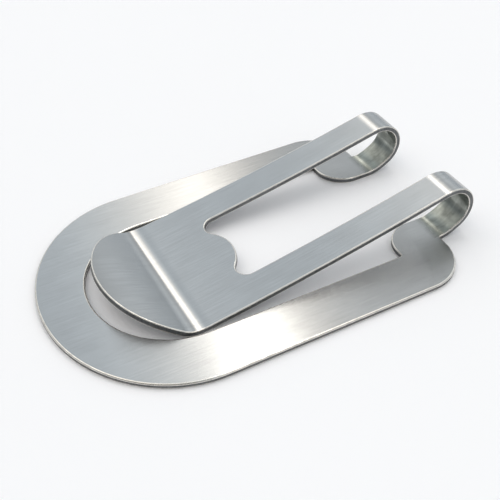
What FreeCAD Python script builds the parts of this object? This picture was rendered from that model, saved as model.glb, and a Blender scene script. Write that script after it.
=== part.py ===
import FreeCAD, Part
import math
import os

import Sketcher

# Money clip, bent from one blank of spring sheet steel.  A flat U-shaped frame lies on the
# table.  A tab on the inner side of each leg rolls up and over into an open spring loop, and the
# two straps come forward again as arms that join in a wide rounded tongue.  The tongue dips into
# the frame's opening along one transverse bend, and its front lifts as a lead-in lip.
#
# The regions between the bend lines are the sub-parts.  +X runs along the clip towards the
# loops, +Z is up, and the origin is under the middle of the clip, on the face it rests on.
# Heights are measured along one surface of the sheet: the underside of the frame, which becomes
# the outside of the loops and then the top of the arms, tongue and lip.

DIMENSIONS = {
    # the whole clip
    "overall_length": 50.6,
    "overall_width": 32.0,
    "sheet_thickness": 0.7,
    # frame: an elliptical bow and two straight legs round an opening with a half-round front
    "bow_depth": 14.65,
    "bow_band": 5.5,
    "opening_width": 19.84,
    "leg_length": 31.5,
    "leg_corner_radius": 5.5,
    # tabs that the straps grow out of
    "strap_inner": 5.35,
    "strap_outer": 9.35,
    "tab_length": 5.0,
    "tab_corner_radius": 3.7,
    # spring loops, outside radii
    "loop_lower_radius": 7.33,
    "loop_lower_sweep": 31.4,
    "loop_upper_radius": 3.31,
    # arms and tongue: one long shallow arch, radius on its top surface
    "arm_slope": 13.95,
    "arm_arch_radius": 376.0,
    "arm_length": 23.4,
    "tongue_length": 8.2,
    # bend and lead-in lip, radii on the top surface; the lip is crowned, so its rise eases off
    "bend_radius": 4.26,
    "lip_rise": 30.4,
    "lip_crown_radius": 21.8,
    "lip_shoulder": 0.53,
    "lip_reach": 7.65,
    # front end of the window between the arms
    "bump_radius": 4.57,
    "bump_setback": 0.55,
    "pocket_radius": 1.4,
}

SIDES = {"left": 1, "right": -1}


class Size:
    """A value together with the spreadsheet formula that gives it."""

    def __init__(self, value, text):
        self.value = value
        self.text = text

    @staticmethod
    def of(item):
        return item if isinstance(item, Size) else Size(float(item), repr(float(item)))

    def __add__(self, other):
        other = Size.of(other)
        return Size(self.value + other.value, f"({self.text} + {other.text})")

    def __sub__(self, other):
        other = Size.of(other)
        return Size(self.value - other.value, f"({self.text} - {other.text})")

    def __mul__(self, other):
        other = Size.of(other)
        return Size(self.value * other.value, f"({self.text} * {other.text})")

    def __truediv__(self, other):
        other = Size.of(other)
        return Size(self.value / other.value, f"({self.text} / {other.text})")

    def __neg__(self):
        return Size(-self.value, f"(-1 * {self.text})")


def sine(angle):
    return Size(math.sin(math.radians(angle.value)), f"sin({angle.text})")


def cosine(angle):
    return Size(math.cos(math.radians(angle.value)), f"cos({angle.text})")


def root(square):
    return Size(math.sqrt(square.value), f"sqrt({square.text})")


def make_sheet(doc):
    """Put the driving dimensions in a spreadsheet and return each as a Size."""
    sheet = doc.addObject("Spreadsheet::Sheet", "dims")
    sizes = {}
    for row, (name, value) in enumerate(DIMENSIONS.items(), start=1):
        sheet.set(f"A{row}", name)
        sheet.set(f"B{row}", str(value))
        sheet.setAlias(f"B{row}", name)
        sizes[name] = Size(value, f"dims.{name}")
    doc.recompute()
    return sizes


# ---------------------------------------------------------------- sketches and pads


def plane_of(body, role):
    """The body's own origin plane with this role."""
    return next(feature for feature in body.Origin.OriginFeatures if feature.Role == role)


def arc_between(start, end, radius, bulge):
    """Arc from start to end; bulge +1 turns left on the way, -1 turns right."""
    chord = end - start
    middle = (start + end) / 2
    across = FreeCAD.Vector(-chord.y, chord.x, 0).normalize()
    rise = math.sqrt(max(radius * radius - (chord.Length / 2) ** 2, 0.0))
    centre = middle + across * (rise * bulge)
    first, last = (start, end) if bulge > 0 else (end, start)
    start_angle = math.atan2(first.y - centre.y, first.x - centre.x)
    end_angle = math.atan2(last.y - centre.y, last.x - centre.x)
    circle = Part.Circle(centre, FreeCAD.Vector(0, 0, 1), radius)
    return Part.ArcOfCircle(circle, start_angle, end_angle)


def draw_outline(sketch, outline):
    """Draw a closed outline and bind every corner and radius to the spreadsheet.

    Each entry is (x, y) for a corner that a line leaves, or (x, y, radius, bulge) for one that
    an arc leaves.
    """
    points = [FreeCAD.Vector(entry[0].value, entry[1].value, 0) for entry in outline]
    joints = []
    for index, entry in enumerate(outline):
        start, end = points[index], points[(index + 1) % len(points)]
        if len(entry) == 2:
            sketch.addGeometry(Part.LineSegment(start, end))
            joints.append((1, 2))
        else:
            sketch.addGeometry(arc_between(start, end, entry[2].value, entry[3]))
            joints.append((1, 2) if entry[3] > 0 else (2, 1))
    for index, entry in enumerate(outline):
        previous = (index - 1) % len(outline)
        first = joints[index][0]
        sketch.addConstraint(
            Sketcher.Constraint("Coincident", previous, joints[previous][1], index, first)
        )
        for kind, size in (("DistanceX", entry[0]), ("DistanceY", entry[1])):
            bind(sketch, Sketcher.Constraint(kind, -1, 1, index, first, size.value), size)
        if len(entry) > 2:
            bind(sketch, Sketcher.Constraint("Radius", index, entry[2].value), entry[2])


def bind(sketch, constraint, size):
    number = sketch.addConstraint(constraint)
    sketch.setExpression(f"Constraints[{number}]", size.text)


def add_sketch(body, name, role, outline, offset=None):
    sketch = body.newObject("Sketcher::SketchObject", name)
    sketch.AttachmentSupport = (plane_of(body, role), [""])
    sketch.MapMode = "FlatFace"
    if offset is not None:
        sketch.setExpression("AttachmentOffset.Base.z", offset.text)
    draw_outline(sketch, outline)
    return sketch


def pad_body(doc, label, role, outline, depth, offset=None, symmetric=False):
    """A body padded from one outline; a symmetric pad grows both ways from the sketch."""
    body = doc.addObject("PartDesign::Body", label)
    body.Label = label
    pad = body.newObject("PartDesign::Pad", f"{label}_pad")
    pad.Profile = add_sketch(body, f"{label}_outline", role, outline, offset)
    pad.setExpression("Length", depth.text)
    if symmetric:
        pad.SideType = "Symmetric"
    return body


# ---------------------------------------------------------------- where the sheet runs


def layout(dims):
    """Places along the clip that several sub-parts share."""
    half_length = dims["overall_length"] / 2
    places = {"half_length": half_length}
    places["bow_x"] = dims["bow_depth"] - half_length
    places["opening_x"] = dims["bow_band"] - half_length + dims["opening_width"] / 2
    places["leg_end_x"] = places["bow_x"] + dims["leg_length"]
    places["loop_x"] = half_length - dims["loop_upper_radius"]
    step = dims["loop_lower_radius"] - dims["loop_upper_radius"]
    places["lower_x"] = places["loop_x"] - step * sine(dims["loop_lower_sweep"])
    places["loop_z"] = dims["loop_lower_radius"] - step * cosine(dims["loop_lower_sweep"])
    places["tab_x"] = places["lower_x"] - dims["tab_length"]
    return places


def on_arc(centre, radius, slope):
    """Point where an arc has this slope; its centre is on the left of the way the sheet runs.

    The slope goes on rising round a loop, and falls along the arch towards the front.
    """
    return centre[0] + radius * sine(slope), centre[1] - radius * cosine(slope)


def on_crown(centre, radius, slope):
    """Point of an arc whose centre is below it."""
    return centre[0] - radius * sine(slope), centre[1] + radius * cosine(slope)


def loop_profile(dims, places):
    """Side outline of one loop, from the flat frame round to the start of the arm."""
    thickness = dims["sheet_thickness"]
    lower, upper = dims["loop_lower_radius"], dims["loop_upper_radius"]
    flat, knee, top = Size.of(0), dims["loop_lower_sweep"], dims["arm_slope"] + 180
    lower_centre = (places["lower_x"], lower)
    upper_centre = (places["loop_x"], places["loop_z"])
    return [
        on_arc(lower_centre, lower, flat) + (lower, 1),
        on_arc(upper_centre, upper, knee) + (upper, 1),
        on_arc(upper_centre, upper, top),
        on_arc(upper_centre, upper - thickness, top) + (upper - thickness, -1),
        on_arc(lower_centre, lower - thickness, knee) + (lower - thickness, -1),
        on_arc(lower_centre, lower - thickness, flat),
    ]


def arch_centre(dims, places):
    """Centre of the long arch: it carries on from the top of the loops without a kink."""
    slope, radius = dims["arm_slope"], dims["arm_arch_radius"] + dims["loop_upper_radius"]
    return places["loop_x"] - radius * sine(slope), places["loop_z"] + radius * cosine(slope)


def slope_after(dims, *lengths):
    """Slope of the arch after these lengths of strap have come forward from the loop."""
    run = lengths[0]
    for length in lengths[1:]:
        run = run + length
    return dims["arm_slope"] - run / dims["arm_arch_radius"] * (180 / math.pi)


def arch_profile(dims, places, back, front):
    """Side outline of the arch between two slopes."""
    centre = arch_centre(dims, places)
    top, under = dims["arm_arch_radius"], dims["arm_arch_radius"] + dims["sheet_thickness"]
    return [
        on_arc(centre, under, front) + (under, 1),
        on_arc(centre, under, back),
        on_arc(centre, top, back) + (top, -1),
        on_arc(centre, top, front),
    ]


def bend_centre(dims, places, slope):
    """Centre of the transverse bend, which follows the arch at this slope."""
    reach = dims["arm_arch_radius"] - dims["bend_radius"]
    centre = arch_centre(dims, places)
    return centre[0] + reach * sine(slope), centre[1] - reach * cosine(slope)


# ---------------------------------------------------------------- frame


def front_bow(doc, dims, places):
    """Front of the frame: an elliptical nose and a short neck, bored by the opening."""
    thickness, half_width = dims["sheet_thickness"], dims["overall_width"] / 2
    nose = elliptic_prism(doc, "bow_nose", dims["bow_depth"], half_width, places["bow_x"], thickness)
    front = plan_box(doc, "bow_front", -places["half_length"], places["bow_x"], dims)
    neck = plan_box(doc, "bow_neck", places["bow_x"], places["opening_x"], dims)
    half_nose = boolean(doc, "Part::Common", "bow_half", nose, front)
    blank = boolean(doc, "Part::Fuse", "bow_blank", half_nose, neck)
    opening = doc.addObject("Part::Cylinder", "bow_opening")
    opening.setExpression("Radius", (dims["opening_width"] / 2).text)
    opening.setExpression("Height", thickness.text)
    opening.setExpression("Placement.Base.x", places["opening_x"].text)
    return boolean(doc, "Part::Cut", "front_bow", blank, opening)


def elliptic_prism(doc, name, half_x, half_y, centre_x, height):
    """Upright prism on an ellipse that is wider across the clip than along it."""
    ellipse = doc.addObject("Part::Ellipse", f"{name}_edge")
    ellipse.setExpression("MajorRadius", half_y.text)
    ellipse.setExpression("MinorRadius", half_x.text)
    ellipse.Placement.Rotation = FreeCAD.Rotation(FreeCAD.Vector(0, 0, 1), 90)
    ellipse.setExpression("Placement.Base.x", centre_x.text)
    prism = doc.addObject("Part::Extrusion", name)
    prism.Base = ellipse
    prism.DirMode = "Normal"
    prism.Solid = True
    prism.setExpression("LengthFwd", height.text)
    return prism


def plan_box(doc, name, start_x, end_x, dims):
    """Block over the clip's whole width, as thick as the sheet."""
    box = doc.addObject("Part::Box", name)
    box.setExpression("Length", (end_x - start_x).text)
    box.setExpression("Width", dims["overall_width"].text)
    box.setExpression("Height", dims["sheet_thickness"].text)
    box.setExpression("Placement.Base.x", start_x.text)
    box.setExpression("Placement.Base.y", (-dims["overall_width"] / 2).text)
    return box


def boolean(doc, kind, label, base, tool):
    result = doc.addObject(kind, label)
    result.Base = base
    result.Tool = tool
    result.Label = label
    return result


def mirrored(outline, side):
    """The outline as drawn for the left side, or turned over for the right side."""
    if side > 0:
        return outline
    turned = []
    for entry in outline:
        bulge = (entry[2], -entry[3]) if len(entry) > 2 else ()
        turned.append((entry[0], -entry[1]) + bulge)
    return turned


def leg(doc, dims, places, name, side):
    """Straight side of the frame, with one large round corner at its back end."""
    half_width, inner = dims["overall_width"] / 2, dims["opening_width"] / 2
    radius = dims["leg_corner_radius"]
    outline = [
        (places["opening_x"], inner),
        (places["lower_x"], inner),
        (places["lower_x"], dims["strap_outer"]),
        (places["leg_end_x"], dims["strap_outer"]),
        (places["leg_end_x"], half_width - radius, radius, 1),
        (places["leg_end_x"] - radius, half_width),
        (places["opening_x"], half_width),
    ]
    return pad_body(
        doc, f"{name}_leg", "XY_Plane", mirrored(outline, side), dims["sheet_thickness"]
    )


def tab(doc, dims, places, name, side):
    """Flat root of a strap, beside the leg, with its free front corner rounded."""
    radius, inner = dims["tab_corner_radius"], dims["strap_inner"]
    outline = [
        (places["tab_x"], dims["opening_width"] / 2),
        (places["tab_x"], inner + radius, radius, 1),
        (places["tab_x"] + radius, inner),
        (places["lower_x"], inner),
        (places["lower_x"], dims["opening_width"] / 2),
    ]
    return pad_body(
        doc, f"{name}_loop_tab", "XY_Plane", mirrored(outline, side), dims["sheet_thickness"]
    )


# ---------------------------------------------------------------- loops, arms, tongue and lip


def strap_body(doc, dims, label, profile, side):
    """One strap's width of a side outline, on the left or right of the clip."""
    middle = (dims["strap_inner"] + dims["strap_outer"]) / 2
    # the XZ plane faces -Y, so a positive offset is on the right
    offset = middle * -side
    width = dims["strap_outer"] - dims["strap_inner"]
    return pad_body(doc, label, "XZ_Plane", profile, width, offset, symmetric=True)


def spring_loop(doc, dims, places, name, side):
    """Strap rolled up and over in two arcs; it opens when the arms are lifted."""
    return strap_body(doc, dims, f"{name}_spring_loop", loop_profile(dims, places), side)


def arm(doc, dims, places, name, side):
    """Strap running forward and down from the loop."""
    profile = arch_profile(dims, places, dims["arm_slope"], slope_after(dims, dims["arm_length"]))
    return strap_body(doc, dims, f"{name}_arm", profile, side)


def tongue_plate(doc, dims, places):
    """Plate that joins the arms; the window between them ends in its back edge."""
    back = slope_after(dims, dims["arm_length"])
    front = slope_after(dims, dims["arm_length"], dims["tongue_length"])
    profile = arch_profile(dims, places, back, front)
    body = pad_body(
        doc, "tongue_plate", "XZ_Plane", profile, dims["strap_outer"] * 2, symmetric=True
    )
    whole = volume_of(doc, body)
    pocket = body.newObject("PartDesign::Pocket", "window_end")
    pocket.Profile = add_sketch(body, "window_end_outline", "XY_Plane", window_end(dims, places))
    # the plate lies above the plan plane, so the cut goes up
    pocket.Reversed = True
    pocket.setExpression("Length", dims["overall_width"].text)
    if volume_of(doc, body) > whole - 1.0:
        raise RuntimeError("window_end cut nothing")
    return body


def volume_of(doc, body):
    doc.recompute()
    return body.Shape.Volume


def window_end(dims, places):
    """Plan of the window's front end: a bump between two round pockets beside the arms."""
    inner, pocket, bump = dims["strap_inner"], dims["pocket_radius"], dims["bump_radius"]
    back_x = on_arc(
        arch_centre(dims, places),
        dims["arm_arch_radius"],
        slope_after(dims, dims["arm_length"]),
    )[0]
    bump_x = back_x - dims["bump_setback"] - bump
    pocket_y = inner - pocket
    reach = root((pocket + bump) * (pocket + bump) - pocket_y * pocket_y)
    pocket_x = bump_x + reach
    # the two circles touch where the line between their centres crosses them
    touch_x = bump_x + reach * bump / (pocket + bump)
    touch_y = pocket_y * bump / (pocket + bump)
    clear_x = back_x + pocket
    return [
        (clear_x, -inner),
        (clear_x, inner),
        (pocket_x, inner, pocket, 1),
        (touch_x, touch_y, bump, -1),
        (touch_x, -touch_y, pocket, 1),
        (pocket_x, -inner),
    ]


def lip_profile(dims, centre, slope):
    """Side outline of the bend and the crowned lip that rises in front of it."""
    thickness = dims["sheet_thickness"]
    bend_top, bend_under = dims["bend_radius"], dims["bend_radius"] + thickness
    lip_top, lip_under = dims["lip_crown_radius"], dims["lip_crown_radius"] - thickness
    rise = -dims["lip_rise"]
    start = on_arc(centre, bend_top, rise)
    crown = (start[0] + lip_top * sine(rise), start[1] - lip_top * cosine(rise))
    tip = rise + dims["lip_reach"] / lip_top * (180 / math.pi)
    return [
        on_crown(crown, lip_under, tip) + (lip_under, -1),
        on_arc(centre, bend_under, rise) + (bend_under, 1),
        on_arc(centre, bend_under, slope),
        on_arc(centre, bend_top, slope) + (bend_top, -1),
        start + (lip_top, 1),
        on_crown(crown, lip_top, tip),
    ]


def lead_in_lip(doc, dims, places):
    """Transverse bend and lifted lip, trimmed in plan to half an ellipse."""
    width = dims["strap_outer"] * 2
    height = dims["overall_width"] / 2
    slope = slope_after(dims, dims["arm_length"], dims["tongue_length"])
    centre = bend_centre(dims, places, slope)
    profile = lip_profile(dims, centre, slope)
    sheet = pad_body(doc, "lip_sheet", "XZ_Plane", profile, width, symmetric=True)
    shoulder_x = centre[0] - dims["lip_shoulder"]
    nose = elliptic_prism(
        doc, "lip_nose", dims["lip_reach"], dims["strap_outer"], shoulder_x, height
    )
    back = doc.addObject("Part::Box", "lip_back")
    back.setExpression("Length", dims["lip_reach"].text)
    back.setExpression("Width", width.text)
    back.setExpression("Height", height.text)
    back.setExpression("Placement.Base.x", shoulder_x.text)
    back.setExpression("Placement.Base.y", (-dims["strap_outer"]).text)
    plan = boolean(doc, "Part::Fuse", "lip_plan", nose, back)
    return boolean(doc, "Part::Common", "lead_in_lip", sheet, plan)


# ---------------------------------------------------------------- the clip


def build(doc):
    dims = make_sheet(doc)
    places = layout(dims)
    parts = [front_bow(doc, dims, places)]
    for name, side in SIDES.items():
        for make in (leg, tab, spring_loop, arm):
            parts.append(make(doc, dims, places, name, side))
    parts.append(tongue_plate(doc, dims, places))
    parts.append(lead_in_lip(doc, dims, places))
    doc.recompute()
    return parts


def check(doc, parts):
    for item in doc.Objects:
        if "Invalid" in item.State or "Error" in item.State:
            raise RuntimeError(f"{item.Label} did not compute: {item.State}")
    for part in parts:
        if part.Shape.isNull() or not part.Shape.isValid() or len(part.Shape.Solids) != 1:
            raise RuntimeError(f"{part.Label} has no valid solid")


def write(parts):
    os.makedirs("parts", exist_ok=True)
    for part in parts:
        part.Shape.exportStep(f"parts/{part.Label}.step")
        box = part.Shape.BoundBox
        print(
            f"{part.Label}: {part.Shape.Volume:.2f} mm3,"
            f" x {box.XMin:.2f} {box.XMax:.2f}, y {box.YMin:.2f} {box.YMax:.2f},"
            f" z {box.ZMin:.3f} {box.ZMax:.3f}"
        )


document = FreeCAD.newDocument("money_clip")
clip_parts = build(document)
check(document, clip_parts)
write(clip_parts)
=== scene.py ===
import math

import bmesh
import bpy
from mathutils import Matrix, Vector


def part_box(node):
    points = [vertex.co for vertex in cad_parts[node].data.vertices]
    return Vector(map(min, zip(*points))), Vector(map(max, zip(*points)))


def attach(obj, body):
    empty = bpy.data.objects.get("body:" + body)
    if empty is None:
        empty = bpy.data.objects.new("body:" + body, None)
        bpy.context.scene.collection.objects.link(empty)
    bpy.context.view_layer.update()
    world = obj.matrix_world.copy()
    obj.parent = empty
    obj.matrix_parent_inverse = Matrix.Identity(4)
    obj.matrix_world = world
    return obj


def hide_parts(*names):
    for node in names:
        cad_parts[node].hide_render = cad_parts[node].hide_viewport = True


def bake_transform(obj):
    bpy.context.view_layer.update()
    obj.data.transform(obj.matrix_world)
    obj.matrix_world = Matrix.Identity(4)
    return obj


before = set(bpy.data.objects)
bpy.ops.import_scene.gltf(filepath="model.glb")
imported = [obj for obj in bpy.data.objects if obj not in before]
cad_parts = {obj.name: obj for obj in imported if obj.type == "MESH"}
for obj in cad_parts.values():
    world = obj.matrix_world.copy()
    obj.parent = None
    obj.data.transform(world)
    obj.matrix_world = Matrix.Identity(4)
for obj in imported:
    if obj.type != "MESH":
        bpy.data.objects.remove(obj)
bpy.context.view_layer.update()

# Money clip in brushed spring steel.  Every sub-part is a region of one bent sheet, so each piece
# is drawn flat, in blank coordinates: U along the sheet, V across the clip and W through the
# thickness, from the outer surface (underside of the frame, outside of the loops, top of the
# arms) to the inner one.  Its cut edges are rounded, and it is then bent round the bend line.

MM = 0.001

# ---------------------------------------------------------------- sizes, from the frame

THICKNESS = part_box("front_bow")[1].z
HALF_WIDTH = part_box("front_bow")[1].y
FRONT_X, OPENING_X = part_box("front_bow")[0].x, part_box("front_bow")[1].x
LEG_END_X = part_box("left_leg")[1].x
TAB_X, LOWER_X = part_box("left_loop_tab")[0].x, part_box("left_loop_tab")[1].x
OPENING_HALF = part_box("left_loop_tab")[1].y
STRAP_INNER, STRAP_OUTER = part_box("left_spring_loop")[0].y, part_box("left_spring_loop")[1].y

# ---------------------------------------------------------------- sizes of the bent sheet

# radii and slopes of the bend line, measured on the outer surface
LOOP_LOWER_RADIUS, LOOP_LOWER_SWEEP = 7.33 * MM, math.radians(31.4)
LOOP_UPPER_RADIUS = 3.31 * MM
ARM_SLOPE, ARCH_RADIUS = math.radians(13.95), 376.0 * MM
ARM_LENGTH, TONGUE_LENGTH = 23.4 * MM, 8.2 * MM
BEND_RADIUS, LIP_CROWN_RADIUS = 4.26 * MM, 21.8 * MM
# a loop's lower arc starts late and curls tightly, and its top eases out into the arm
KNEE_RADIUS = 4.8 * MM
LOOP_EASE_RADIUS, LOOP_EASE = 7.5 * MM, math.radians(8.4)
# the transverse bend starts this far back on the tongue; each step is (radius, degrees)
BEND_LEAD = 0.43 * MM
BEND_STEPS = ((14.0 * MM, 3.0), (5.6 * MM, 7.0), (8.0 * MM, 4.0), (2.8 * MM, 26.1))

# plan of the frame, of the window's front end and of the lip
BOW_DEPTH, LEG_CORNER, TAB_CORNER = 14.65 * MM, 5.5 * MM, 3.7 * MM
BOW_X = FRONT_X + BOW_DEPTH
BUMP_RADIUS, BUMP_SETBACK, POCKET_RADIUS = 4.57 * MM, 0.55 * MM, 1.4 * MM
LIP_SHOULDER, LIP_REACH = 0.53 * MM, 7.65 * MM
# the crowned span is this many times the lip's reach, so that the whole nose lies on it
LIP_SPARE = 1.3

# rounding of the cut edges, and the length over which it fades out beside a seam
FRAME_ROUND, STRAP_ROUND = 0.20 * MM, 0.13 * MM
FADE = 0.15 * MM

# fineness of the meshes, and of a search along the bend line
EDGE_STEPS = 4
ARC_STEP = math.radians(2.5)
LEAST_ARC_PIECES = 6
HALVINGS = 50
# tolerances: curvature of a straight span, points that are one, and edges that are in line
STRAIGHT, SAME_U, SAME_PLACE, IN_LINE = 1e-9, 1e-7, 1e-8, 0.05

# an outline's edge is a cut edge or a seam with the next piece
FREE, SEAM = "free", "seam"
# kinds of face; all but the last one are also material slots
FACE, ROUND, CUT, INNER, END = range(5)


# ---------------------------------------------------------------- the bend line


class BendLine:
    """Side view of the sheet's outer surface, as a chain of tangent arcs."""

    def __init__(self, start_x):
        self.spans = []
        self.u = start_x
        self.point = Vector((start_x, 0.0))
        self.heading = 0.0

    def add(self, length, curvature):
        """Carry on for this length; a positive curvature turns left, up from the frame."""
        span = (self.u, self.u + length, self.point.copy(), self.heading, curvature)
        self.spans.append(span)
        self.point, self.heading = self.on_span(span, length)
        self.u += length
        return self.u

    @staticmethod
    def on_span(span, run):
        """Point and heading after a run along one span."""
        _, _, point, heading, curvature = span
        if abs(curvature) < STRAIGHT:
            return point + Vector((math.cos(heading), math.sin(heading))) * run, heading
        turned = heading + run * curvature
        step = Vector(
            (math.sin(turned) - math.sin(heading), math.cos(heading) - math.cos(turned))
        )
        return point + step / curvature, turned

    def at(self, u):
        """Point and heading at U; the flat frame lies before the first span."""
        if u <= self.spans[0][0]:
            return Vector((u, 0.0)), 0.0
        span = next((s for s in self.spans if u <= s[1]), self.spans[-1])
        return self.on_span(span, u - span[0])

    def u_at_x(self, x, low, high):
        """U of the point at this X between two values of U, where the sheet runs forward."""
        for _ in range(HALVINGS):
            middle = (low + high) / 2
            if self.at(middle)[0].x > x:
                low = middle
            else:
                high = middle
        return low

    def cuts(self, low, high):
        """Values of U where a mesh is divided so that it can bend smoothly."""
        found = []
        for start, end, _, _, curvature in self.spans:
            pieces = max(1, math.ceil(abs((end - start) * curvature) / ARC_STEP))
            if abs(curvature) > STRAIGHT:
                pieces = max(pieces, LEAST_ARC_PIECES)
            for index in range(pieces + 1):
                u = start + (end - start) * index / pieces
                if low + SAME_U < u < high - SAME_U:
                    found.append(u)
        return sorted(set(found))


bend_line = BendLine(LOWER_X)

# the loop: a short flat, the knee, another short flat and the long upper arc
knee_flat = (LOOP_LOWER_RADIUS - KNEE_RADIUS) * math.tan(LOOP_LOWER_SWEEP / 2)
upper_sweep = math.pi + ARM_SLOPE - LOOP_LOWER_SWEEP - LOOP_EASE
bend_line.add(knee_flat, 0.0)
bend_line.add(KNEE_RADIUS * LOOP_LOWER_SWEEP, 1 / KNEE_RADIUS)
bend_line.add(knee_flat, 0.0)
bend_line.add(LOOP_UPPER_RADIUS * upper_sweep, 1 / LOOP_UPPER_RADIUS)
ARM_U = bend_line.u + LOOP_UPPER_RADIUS * LOOP_EASE
bend_line.add(LOOP_EASE_RADIUS * LOOP_EASE, 1 / LOOP_EASE_RADIUS)

# the arms and the tongue: one shallow arch, forward and down
TONGUE_U = ARM_U + ARM_LENGTH
BEND_U = TONGUE_U + TONGUE_LENGTH
BEND_SLOPE = ARM_SLOPE - (ARM_LENGTH + TONGUE_LENGTH) / ARCH_RADIUS
bend_line.add(BEND_U - BEND_LEAD - bend_line.u, -1 / ARCH_RADIUS)

# the bend eases in, is flatter at its lowest line and tightens toward the lip
for radius, turn in BEND_STEPS:
    bend_line.add(radius * math.radians(turn), -1 / radius)
LIP_END_U = bend_line.add(LIP_REACH * LIP_SPARE, 1 / LIP_CROWN_RADIUS)


# ---------------------------------------------------------------- outlines of the flat blank


def arc(centre, radii, start, end):
    """Points of an elliptical arc between two angles in degrees, both ends included."""
    steps = max(2, math.ceil(abs(math.radians(end - start)) / ARC_STEP))
    points = []
    for index in range(steps + 1):
        angle = math.radians(start + (end - start) * index / steps)
        points.append(
            (centre[0] + radii[0] * math.cos(angle), centre[1] + radii[1] * math.sin(angle))
        )
    return points


def outline(*runs):
    """Join runs of points into one outline; each run says what its edges are."""
    joined = []
    for points, kind in runs:
        joined.extend((u, v, kind) for u, v in points)
    return joined


def turned_over(shape):
    """The same outline for the other side of the clip, still anticlockwise."""
    count = len(shape)
    return [
        (shape[index][0], -shape[index][1], shape[index - 1][2])
        for index in range(count - 1, -1, -1)
    ]


def bow_outline():
    """Rounded front of the frame: an ellipse outside and a half circle inside."""
    return outline(
        ([(OPENING_X, HALF_WIDTH)], FREE),
        (arc((BOW_X, 0), (BOW_DEPTH, HALF_WIDTH), 90, 270), FREE),
        ([(OPENING_X, -HALF_WIDTH)], SEAM),
        (arc((OPENING_X, 0), (OPENING_HALF, OPENING_HALF), 270, 90)[:-1], FREE),
        ([(OPENING_X, OPENING_HALF)], SEAM),
    )


def leg_outline():
    """Straight left side of the frame, with one large round corner at the back."""
    corner = (LEG_END_X - LEG_CORNER, HALF_WIDTH - LEG_CORNER)
    return outline(
        ([(OPENING_X, OPENING_HALF), (TAB_X - FADE, OPENING_HALF)], FREE),
        ([(TAB_X, OPENING_HALF), (LOWER_X, OPENING_HALF), (LOWER_X, STRAP_OUTER)], SEAM),
        ([(LEG_END_X, STRAP_OUTER)], FREE),
        (arc(corner, (LEG_CORNER, LEG_CORNER), 0, 90), FREE),
        ([(OPENING_X, HALF_WIDTH)], SEAM),
    )


def tab_outline():
    """Tab on the inner side of the left leg, with a round corner in front."""
    corner = (TAB_X + TAB_CORNER, STRAP_INNER + TAB_CORNER)
    return outline(
        ([(TAB_X, OPENING_HALF)], FREE),
        (arc(corner, (TAB_CORNER, TAB_CORNER), 180, 270), FREE),
        ([(LOWER_X, STRAP_INNER), (LOWER_X, STRAP_OUTER), (LOWER_X, OPENING_HALF)], SEAM),
    )


def loop_outline():
    """Left strap from the tab to the arm; beside the leg's end it is still joined to the leg."""
    return outline(
        ([(LOWER_X, STRAP_INNER)], FREE),
        ([(ARM_U, STRAP_INNER)], SEAM),
        ([(ARM_U, STRAP_OUTER), (LEG_END_X + FADE, STRAP_OUTER)], FREE),
        ([(LEG_END_X, STRAP_OUTER), (LOWER_X, STRAP_OUTER)], SEAM),
    )


def arm_outline():
    """Left strap from the loop to the tongue."""
    return outline(
        ([(ARM_U, STRAP_INNER)], FREE),
        ([(TONGUE_U, STRAP_INNER)], SEAM),
        ([(TONGUE_U, STRAP_OUTER)], FREE),
        ([(ARM_U, STRAP_OUTER)], SEAM),
    )


def window_end():
    """Window end in plan: round pocket, bump, round pocket, from the left arm to the right."""
    back_x = bend_line.at(TONGUE_U)[0].x
    bump_x = back_x - BUMP_SETBACK - BUMP_RADIUS
    pocket_y = STRAP_INNER - POCKET_RADIUS
    reach = math.sqrt((POCKET_RADIUS + BUMP_RADIUS) ** 2 - pocket_y**2)
    lean = math.degrees(math.atan2(pocket_y, reach))
    pocket = (POCKET_RADIUS, POCKET_RADIUS)
    left = arc((bump_x + reach, pocket_y), pocket, 90, 180 + lean)
    bump = arc((bump_x, 0), (BUMP_RADIUS, BUMP_RADIUS), lean, -lean)
    right = arc((bump_x + reach, -pocket_y), pocket, 180 - lean, 270)
    return left + bump[1:-1] + right


def tongue_outline():
    """Plate from the ends of the arms to the bend, cut away by the window's end."""
    window = [(bend_line.u_at_x(x, ARM_U, BEND_U), y) for x, y in window_end()]
    return outline(
        ([(TONGUE_U, -STRAP_OUTER)], FREE),
        ([(BEND_U, -STRAP_OUTER)], SEAM),
        ([(BEND_U, STRAP_OUTER)], FREE),
        ([(TONGUE_U, STRAP_OUTER)], SEAM),
        ([(TONGUE_U, STRAP_INNER)] + window, FREE),
        ([(TONGUE_U, -STRAP_INNER)], SEAM),
    )


def lip_outline():
    """Bend and lip; in plan the nose is half an ellipse that starts at the shoulders."""
    lowest_x = bend_line.at(BEND_U)[0].x - BEND_RADIUS * math.sin(BEND_SLOPE)
    shoulder_x = lowest_x - LIP_SHOULDER
    nose = arc((shoulder_x, 0), (LIP_REACH, STRAP_OUTER), 270, 90)
    edge = [(bend_line.u_at_x(x, BEND_U, LIP_END_U), y) for x, y in nose]
    return outline(
        ([(BEND_U, -STRAP_OUTER)] + edge, FREE),
        ([(BEND_U, STRAP_OUTER)], SEAM),
    )


# ---------------------------------------------------------------- meshes


def edge_normals(shape):
    """Outward unit normal of the edge that leaves each point."""
    normals = []
    for index, (u, v, _) in enumerate(shape):
        after = shape[(index + 1) % len(shape)]
        normals.append(Vector((after[1] - v, u - after[0])).normalized())
    return normals


def free_normals(shape):
    """Outward normal at each point, from the cut edges that meet there; zero on a seam."""
    normals = edge_normals(shape)
    found = []
    for index in range(len(shape)):
        total = Vector((0.0, 0.0))
        for edge in (index - 1, index):
            if shape[edge][2] == FREE:
                total += normals[edge]
        found.append(total.normalized())
    return found


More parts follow.
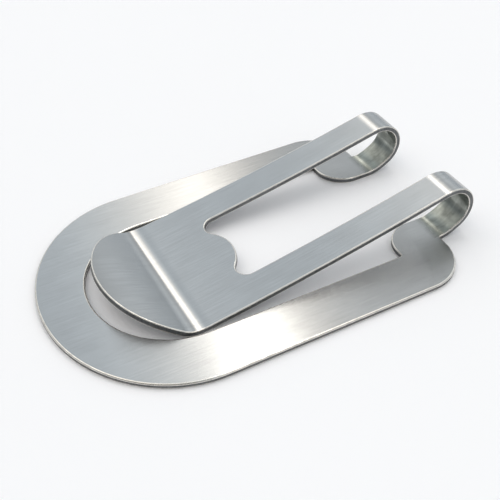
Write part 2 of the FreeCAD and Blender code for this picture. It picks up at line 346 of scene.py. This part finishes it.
def inset(shape, depth):
    """Outline moved inward by depth along its cut edges; seams stay on their own lines."""
    normals = edge_normals(shape)
    moved = []
    for index, (u, v, _) in enumerate(shape):
        n1, n2 = normals[index - 1], normals[index]
        d1 = depth if shape[index - 1][2] == FREE else 0.0
        d2 = depth if shape[index][2] == FREE else 0.0
        cross = n1.x * n2.y - n1.y * n2.x
        if abs(cross) < IN_LINE:
            shift = (n1 + n2).normalized() * min(d1, d2)
        else:
            shift = Vector((d1 * n2.y - d2 * n1.y, d2 * n1.x - d1 * n2.x)) / cross
        moved.append((u - shift.x, v - shift.y))
    return moved


def rounding(radius):
    """Edge section from the inner face to the outer one: (inset, height, outward, up)."""
    section = []
    for index in range(EDGE_STEPS + 1):
        angle = math.pi / 2 * index / EDGE_STEPS
        drop, out = 1 - math.cos(angle), 1 - math.sin(angle)
        height = THICKNESS - radius * drop
        section.append((radius * out, height, math.sin(angle), math.cos(angle)))
    lower = [(depth, THICKNESS - height, out, -up) for depth, height, out, up in section]
    return section + lower[::-1]


def flat_solid(shape, radius):
    """Solid of the blank in U, V, W, with a normal for each point and a kind for each face."""
    mesh = bmesh.new()
    normal_layer = mesh.verts.layers.float_vector.new("blank_normal")
    kind_layer = mesh.faces.layers.int.new("kind")
    outward = free_normals(shape)
    section = rounding(radius)
    rings = []
    for depth, height, out, up in section:
        ring = []
        for (u, v), normal in zip(inset(shape, depth), outward):
            vert = mesh.verts.new((u, v, height))
            side = normal * out
            vert[normal_layer] = Vector((side.x, side.y, up))
            ring.append(vert)
        rings.append(ring)
    count = len(shape)
    middle = len(section) // 2 - 1
    for row in range(len(section) - 1):
        for index in range(count):
            after = (index + 1) % count
            corners = (
                rings[row][index],
                rings[row + 1][index],
                rings[row + 1][after],
                rings[row][after],
            )
            face = mesh.faces.new(corners)
            kind = CUT if row == middle else ROUND
            face[kind_layer] = kind if shape[index][2] == FREE else END
    mesh.faces.new(rings[0])[kind_layer] = INNER
    mesh.faces.new(rings[-1][::-1])[kind_layer] = FACE
    return mesh


def divide(mesh, low, high):
    """Cut a flat mesh across wherever the bend line needs it between two values of U."""
    for u in bend_line.cuts(low, high):
        everything = mesh.verts[:] + mesh.edges[:] + mesh.faces[:]
        bmesh.ops.bisect_plane(
            mesh, geom=everything, dist=SAME_PLACE, plane_co=(u, 0, 0), plane_no=(1, 0, 0)
        )


def bent(u, v, w):
    """Place of a blank point on the bent clip, with the directions of U and W there."""
    point, heading = bend_line.at(u)
    along = Vector((math.cos(heading), 0.0, math.sin(heading)))
    through = Vector((-math.sin(heading), 0.0, math.cos(heading)))
    return Vector((point.x, v, point.y)) + through * w, along, through


def bend(mesh):
    """Bend a flat mesh; gives each point's blank coordinates and its normal on the clip."""
    normal_layer = mesh.verts.layers.float_vector["blank_normal"]
    mesh.verts.index_update()
    blank, normals = [], []
    for vert in mesh.verts:
        u, v, w = vert.co
        place, along, through = bent(u, v, w)
        side = vert[normal_layer]
        blank.append((u, v))
        normals.append((along * side.x + Vector((0, side.y, 0)) + through * side.z).normalized())
        vert.co = place
    mesh.normal_update()
    return blank, normals


def sheet_piece(name, shape, radius, materials):
    """Mesh object of one region of the sheet, bent to shape.

    The radius rounds its cut edges.  The materials are for the faces, their rounding and the cut
    edge, and there may be a fourth one for the inner face.
    """
    mesh = flat_solid(shape, radius)
    divide(mesh, min(point[0] for point in shape), max(point[0] for point in shape))
    blank, normals = bend(mesh)
    kind_layer = mesh.faces.layers.int["kind"]
    uv_layer = mesh.loops.layers.uv.new("blank")
    corners = []
    for face in mesh.faces:
        kind = face[kind_layer]
        face.smooth = kind != END
        face.material_index = kind if kind < len(materials) else FACE
        for loop in face.loops:
            index = loop.vert.index
            loop[uv_layer].uv = blank[index]
            corners.append(face.normal.copy() if kind == END else normals[index])
    data = bpy.data.meshes.new(name)
    mesh.to_mesh(data)
    mesh.free()
    for material in materials:
        data.materials.append(material)
    data.normals_split_custom_set(corners)
    piece = bpy.data.objects.new(name, data)
    bpy.context.scene.collection.objects.link(piece)
    return piece


# ---------------------------------------------------------------- materials

# base colours
# the rolled colour, darker and greener, is painted shade for the inside of the loops
STEEL, ROLLED_STEEL_AND_SHADE = (0.51, 0.51, 0.505), (0.38, 0.40, 0.365)
# the cut edges' very dark colour is partly painted shade
# the rounded edges' cream colour is a painted highlight
EDGE_HIGHLIGHT_STEEL, SHEARED_STEEL_AND_SHADE = (0.72, 0.69, 0.64), (0.16, 0.165, 0.168)
FLOOR_WHITE = (0.98, 0.97, 0.985)

# marks per metre on the blank, along U and V
HAIRLINES, STREAKS, CLOUDS = (900.0, 14000.0, 1.0), (200.0, 5500.0, 1.0), (260.0, 330.0, 1.0)
CRUSHED_LINES = (400.0, 5000.0, 1.0)
# marks per metre in space, along X, Y and Z
MOTTLE, NICKS = (900.0, 900.0, 900.0), (1400.0, 1400.0, 1400.0)
SHEAR_MARKS, PATCHES = (9000.0, 9000.0, 500.0), (500.0, 500.0, 900.0)

# usual range of a noise value, and the length over which the rolled look and the painted shade
# inside the loops set in
NOISE_LOW, NOISE_HIGH = 0.3, 0.7
ROLLED_AND_SHADE_ONSET = 1.2 * MM


def new_material(name):
    material = bpy.data.materials.new(name)
    material.use_nodes = True
    return material, material.node_tree, material.node_tree.nodes["Principled BSDF"]


def add_node(tree, kind, **settings):
    node = tree.nodes.new(kind)
    for key, value in settings.items():
        setattr(node, key, value)
    return node


def stretched_noise(tree, source, scale, detail):
    """Noise on a vector scaled differently along each axis."""
    mapping = add_node(tree, "ShaderNodeMapping")
    mapping.inputs["Scale"].default_value = scale
    tree.links.new(source, mapping.inputs["Vector"])
    noise = add_node(tree, "ShaderNodeTexNoise")
    noise.inputs["Scale"].default_value = 1.0
    noise.inputs["Detail"].default_value = detail
    tree.links.new(mapping.outputs["Vector"], noise.inputs["Vector"])
    return noise.outputs["Fac"]


def remap(tree, source, low, high, start=NOISE_LOW, end=NOISE_HIGH):
    """Low to high as the value goes from start to end, and level beyond them."""
    node = add_node(tree, "ShaderNodeMapRange")
    node.inputs["From Min"].default_value = start
    node.inputs["From Max"].default_value = end
    node.inputs["To Min"].default_value = low
    node.inputs["To Max"].default_value = high
    tree.links.new(source, node.inputs["Value"])
    return node.outputs["Result"]


def math_node(tree, operation, first, second):
    """Two values, each a number or a socket, put together."""
    node = add_node(tree, "ShaderNodeMath", operation=operation)
    for socket, value in zip(node.inputs, (first, second)):
        if isinstance(value, (int, float)):
            socket.default_value = value
        else:
            tree.links.new(value, socket)
    return node.outputs["Value"]


def mixed(tree, factor, first, second):
    """Colour that goes from first to second; each is a colour or a socket."""
    node = add_node(tree, "ShaderNodeMix", data_type="RGBA")
    tree.links.new(factor, node.inputs["Factor"])
    for name, value in (("A", first), ("B", second)):
        if isinstance(value, tuple):
            node.inputs[name].default_value = (*value, 1.0)
        else:
            tree.links.new(value, node.inputs[name])
    return node.outputs["Result"]


def tinted(tree, factor, colour):
    """Colour times a varying factor."""
    node = add_node(tree, "ShaderNodeVectorMath", operation="SCALE")
    node.inputs[0].default_value = colour
    tree.links.new(factor, node.inputs["Scale"])
    return node.outputs["Vector"]


def blank_map(tree):
    return add_node(tree, "ShaderNodeUVMap", uv_map="blank").outputs["UV"]


def object_map(tree):
    return add_node(tree, "ShaderNodeTexCoord").outputs["Object"]


def make_metal(tree, shader, colour, roughness):
    """Metal whose colour and roughness vary over the surface."""
    tree.links.new(colour, shader.inputs["Base Color"])
    tree.links.new(roughness, shader.inputs["Roughness"])
    shader.inputs["Metallic"].default_value = 1.0


def brush_along_blank(tree, shader):
    """Reflections stay sharp along the blank and spread out across it."""
    shader.inputs["Anisotropic"].default_value = 1.0
    shader.inputs["Anisotropic Rotation"].default_value = 0.25
    tangent = add_node(tree, "ShaderNodeTangent", direction_type="UV_MAP", uv_map="blank")
    tree.links.new(tangent.outputs["Tangent"], shader.inputs["Tangent"])


def add_bump(tree, shader, height, strength, distance):
    bump = add_node(tree, "ShaderNodeBump")
    bump.inputs["Strength"].default_value = strength
    bump.inputs["Distance"].default_value = distance
    tree.links.new(height, bump.inputs["Height"])
    tree.links.new(bump.outputs["Normal"], shader.inputs["Normal"])


def brushed_steel():
    """Faces of the sheet: hairlines along the blank, faint streaks and clouds."""
    material, tree, shader = new_material("brushed_steel")
    blank = blank_map(tree)
    hair = stretched_noise(tree, blank, HAIRLINES, 3.0)
    streak = stretched_noise(tree, blank, STREAKS, 3.0)
    cloud = stretched_noise(tree, blank, CLOUDS, 3.0)
    tone = math_node(
        tree, "MULTIPLY", remap(tree, streak, 0.95, 1.05), remap(tree, cloud, 0.97, 1.03)
    )
    roughness = math_node(
        tree, "ADD", remap(tree, streak, 0.19, 0.23), remap(tree, cloud, 0.02, -0.02)
    )
    make_metal(tree, shader, tinted(tree, tone, STEEL), roughness)
    brush_along_blank(tree, shader)
    add_bump(tree, shader, hair, 0.4, 0.006 * MM)
    return material


def rolled_inside_and_shade():
    """Inner face of the loops: the brushing is crushed by rolling, so it is mottled and duller;
    its darker, greener colour inside the curl is painted shade.
    """
    material, tree, shader = new_material("rolled_inside_and_shade")
    blank = blank_map(tree)
    split = add_node(tree, "ShaderNodeSeparateXYZ")
    tree.links.new(blank, split.inputs["Vector"])
    # the mottle, the dulling and the painted shade set in as the sheet curls into the loop
    rolled_and_shaded = remap(tree, split.outputs["X"], 0.0, 1.0, LOWER_X, LOWER_X + ROLLED_AND_SHADE_ONSET)
    hair = stretched_noise(tree, blank, CRUSHED_LINES, 3.0)
    mottle = stretched_noise(tree, object_map(tree), MOTTLE, 4.0)
    tone = math_node(
        tree, "MULTIPLY", remap(tree, mottle, 0.72, 1.15), remap(tree, hair, 0.9, 1.1)
    )
    colour = mixed(tree, rolled_and_shaded, STEEL, tinted(tree, tone, ROLLED_STEEL_AND_SHADE))
    dulled = math_node(tree, "MULTIPLY", rolled_and_shaded, remap(tree, mottle, 0.15, 0.07))
    make_metal(tree, shader, colour, math_node(tree, "ADD", dulled, 0.21))
    brush_along_blank(tree, shader)
    add_bump(tree, shader, mottle, 0.5, 0.02 * MM)
    return material


def nicked_edge_and_highlight():
    """Tumbled rounding between a face and its cut edge: smoother, with nicks; its brighter, cream
    colour is a painted highlight along the edge.
    """
    material, tree, shader = new_material("nicked_edge_and_highlight")
    nicks = stretched_noise(tree, object_map(tree), NICKS, 3.0)
    # the cream colour is a painted highlight along the rounded edge, varied by the nicks
    colour = tinted(tree, remap(tree, nicks, 0.85, 1.1), EDGE_HIGHLIGHT_STEEL)
    make_metal(tree, shader, colour, remap(tree, nicks, 0.32, 0.20))
    return material


def sheared_edge_and_shade():
    """Cut edge of the sheet: dull, with fine upright shear marks; its very dark colour is partly
    the sheared steel and partly painted shade on the upright faces.
    """
    material, tree, shader = new_material("sheared_edge_and_shade")
    place = object_map(tree)
    marks = stretched_noise(tree, place, SHEAR_MARKS, 2.0)
    patches = stretched_noise(tree, place, PATCHES, 2.0)
    tone = math_node(
        tree, "MULTIPLY", remap(tree, marks, 0.75, 1.2), remap(tree, patches, 0.85, 1.15)
    )
    # the very dark colour is partly the sheared steel and partly painted shade
    make_metal(tree, shader, tinted(tree, tone, SHEARED_STEEL_AND_SHADE), remap(tree, marks, 0.55, 0.42))
    add_bump(tree, shader, marks, 0.5, 0.01 * MM)
    return material


def floor_material():
    """Plain pale table, almost matt."""
    material, _, shader = new_material("floor")
    shader.inputs["Base Color"].default_value = (*FLOOR_WHITE, 1.0)
    shader.inputs["Roughness"].default_value = 0.6
    shader.inputs["Specular IOR Level"].default_value = 0.2
    return material


# ---------------------------------------------------------------- the clip


def build_clip():
    """One piece for each CAD node, on the frame or on the clamp; the loops are on neither."""
    materials = (brushed_steel(), nicked_edge_and_highlight(), sheared_edge_and_shade())
    loop_materials = materials + (rolled_inside_and_shade(),)
    frame_shapes = {
        "front_bow": bow_outline(),
        "left_leg": leg_outline(),
        "right_leg": turned_over(leg_outline()),
        "left_loop_tab": tab_outline(),
        "right_loop_tab": turned_over(tab_outline()),
    }
    clamp_shapes = {
        "left_arm": arm_outline(),
        "right_arm": turned_over(arm_outline()),
        "tongue_plate": tongue_outline(),
        "lead_in_lip": lip_outline(),
    }
    loop_shapes = {
        "left_spring_loop": loop_outline(),
        "right_spring_loop": turned_over(loop_outline()),
    }
    for body, shapes in (("frame", frame_shapes), ("clamp", clamp_shapes)):
        for node, shape in shapes.items():
            radius = FRAME_ROUND if node in ("front_bow", "left_leg", "right_leg") else STRAP_ROUND
            piece = sheet_piece(f"{node}_sheet", shape, radius, materials)
            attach(piece, body)
            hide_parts(node)
    # the loops are joined to neither body
    for node, shape in loop_shapes.items():
        piece = sheet_piece(f"{node}_sheet", shape, STRAP_ROUND, loop_materials)
        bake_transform(piece)
        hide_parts(node)


# ---------------------------------------------------------------- floor, light and camera

FLOOR_REACH = 4.0

# the surround's stops run along X, from -1 to 1: (value, level, tint)
COOL, GREY, WARM = (0.91, 1.0, 1.07), (0.96, 1.0, 1.02), (1.04, 1.0, 0.94)
HIGH_STOPS = (
    (-1.0, 1.2, GREY),
    (-0.40, 1.75, WARM),
    (-0.15, 1.35, GREY),
    (0.00, 0.80, COOL),
    (0.07, 0.70, COOL),
    (0.12, 0.90, COOL),
    (0.17, 1.15, GREY),
    (0.24, 1.6, WARM),
    (0.29, 2.0, WARM),
    (0.320, 2.6, WARM),
    (0.332, 1.4, WARM),
    (0.39, 1.1, GREY),
    (0.46, 0.8, GREY),
    (0.55, 1.0, GREY),
    (0.70, 1.5, GREY),
)
LOW_STOPS = (
    (-1.0, 0.35, COOL),
    (-0.20, 0.55, COOL),
    (0.05, 0.90, COOL),
    (0.20, 0.85, COOL),
    (0.25, 1.0, GREY),
    (0.29, 1.4, WARM),
    (0.320, 1.8, WARM),
    (0.330, 0.4, GREY),
    (0.40, 0.25, COOL),
    (0.46, 0.6, COOL),
    (0.60, 0.64, COOL),
)
# heights between which the low stops give way to the high ones, and the surround leans over
MIX_LOW, MIX_HIGH = 0.30, 0.85
LEAN, LEAN_LOW, LEAN_HIGH = -0.0675, 0.5, 0.95
# strength of the surround in its dark corner
DARK_CORNER = 0.3

# the overhead light: how far toward +X, degrees up from +Y, and distance in metres
OVERHEAD_SIDE, OVERHEAD_TURN, OVERHEAD_DISTANCE = 0.31, 80, 0.8
OVERHEAD_SIZE, OVERHEAD_POWER, OVERHEAD_COLOUR = (0.08, 0.45), 0.62, (1.0, 0.98, 0.95)


def build_floor():
    """Plain table under the clip."""
    data = bpy.data.meshes.new("floor")
    corners = [
        (-FLOOR_REACH, -FLOOR_REACH, 0),
        (FLOOR_REACH, -FLOOR_REACH, 0),
        (FLOOR_REACH, FLOOR_REACH, 0),
        (-FLOOR_REACH, FLOOR_REACH, 0),
    ]
    data.from_pydata(corners, [], [(0, 1, 2, 3)])
    data.materials.append(floor_material())
    floor = bpy.data.objects.new("floor", data)
    bpy.context.scene.collection.objects.link(floor)


def area_light(name, place, target, size, power, colour):
    """Rectangular light that faces its target, with its first side in line with X."""
    data = bpy.data.lights.new(name, "AREA")
    data.shape = "RECTANGLE"
    data.size, data.size_y = size
    data.energy = power
    data.color = colour
    light = bpy.data.objects.new(name, data)
    light.location = place
    forward = (Vector(target) - Vector(place)).normalized()
    side = Vector((1, 0, 0)) - forward * forward.x
    side.normalize()
    up = (-forward).cross(side)
    light.rotation_euler = Matrix((side, up, -forward)).transposed().to_euler()
    bpy.context.scene.collection.objects.link(light)


def gradient(tree, source, stops):
    """Colour ramp over a value from -1 to 1; each stop is (value, level, tint)."""
    ramp = add_node(tree, "ShaderNodeValToRGB")
    elements = ramp.color_ramp.elements
    for index, (value, level, tint) in enumerate(stops):
        position = (value + 1) / 2
        stop = elements[index] if index < 2 else elements.new(position)
        stop.position = position
        stop.color = (level * tint[0], level * tint[1], level * tint[2], 1)
    tree.links.new(remap(tree, source, 0.0, 1.0, -1.0, 1.0), ramp.inputs["Fac"])
    return ramp.outputs["Color"]


def build_world():
    """Soft studio surround for the steel to reflect.

    From -X to +X it has a soft light, a grey card, a strip light that fades out toward -X, a gap
    and a second soft light.  All of them are dimmer toward the table.
    """
    world = bpy.data.worlds.new("studio")
    bpy.context.scene.world = world
    world.use_nodes = True
    tree = world.node_tree
    background = tree.nodes["Background"]
    direction = add_node(tree, "ShaderNodeTexCoord").outputs["Generated"]
    split = add_node(tree, "ShaderNodeSeparateXYZ")
    tree.links.new(direction, split.inputs["Vector"])
    side, depth, height = (split.outputs[axis] for axis in "XYZ")
    # everything leans toward +X with height
    across = math_node(tree, "ADD", side, remap(tree, height, 0.0, LEAN, LEAN_LOW, LEAN_HIGH))
    low, high = gradient(tree, across, LOW_STOPS), gradient(tree, across, HIGH_STOPS)
    colour = mixed(tree, remap(tree, height, 0.0, 1.0, MIX_LOW, MIX_HIGH), low, high)
    tree.links.new(colour, background.inputs["Color"])
    # the corner toward -X and -Y is dark
    behind = remap(tree, depth, DARK_CORNER, 1.0, -0.5, 0.1)
    right = remap(tree, side, DARK_CORNER, 0.9, -0.2, 0.2)
    tree.links.new(math_node(tree, "MAXIMUM", behind, right), background.inputs["Strength"])


def around(side, turn):
    """Direction whose X is side, turned this many degrees up from +Y."""
    turn = math.radians(turn)
    across = math.sqrt(1 - side**2)
    return Vector((side, across * math.cos(turn), across * math.sin(turn)))


def build_lights():
    """One narrow light above the clip, which gives the soft shadow on the table."""
    place = around(OVERHEAD_SIDE, OVERHEAD_TURN) * OVERHEAD_DISTANCE
    origin = (0.0, 0.0, 0.0)
    area_light("overhead", place, origin, OVERHEAD_SIZE, OVERHEAD_POWER, OVERHEAD_COLOUR)


def build_camera():
    """Camera beyond the right leg, toward the bow, looking down at the clip."""
    azimuth, elevation, roll = math.radians(-28.1), math.radians(41.9), math.radians(-0.4)
    distance, target = 0.10032, Vector((0.00017, 0.00007, 0.0))
    back = Vector(
        (
            math.sin(azimuth) * math.cos(elevation),
            -math.cos(azimuth) * math.cos(elevation),
            math.sin(elevation),
        )
    )
    right = Vector((math.cos(azimuth), math.sin(azimuth), 0.0))
    up = back.cross(right)
    turned_right = right * math.cos(roll) + up * math.sin(roll)
    turned_up = up * math.cos(roll) - right * math.sin(roll)
    data = bpy.data.cameras.new("camera")
    data.lens, data.sensor_width = 60.78, 36.0
    data.clip_start, data.clip_end = 0.005, 20.0
    camera = bpy.data.objects.new("camera", data)
    rotation = Matrix((turned_right, turned_up, back)).transposed().to_4x4()
    camera.matrix_world = Matrix.Translation(target + back * distance) @ rotation
    bpy.context.scene.collection.objects.link(camera)
    bpy.context.scene.camera = camera


build_clip()
build_floor()
build_world()
build_lights()
build_camera()
bpy.context.scene.view_settings.view_transform = "Standard"
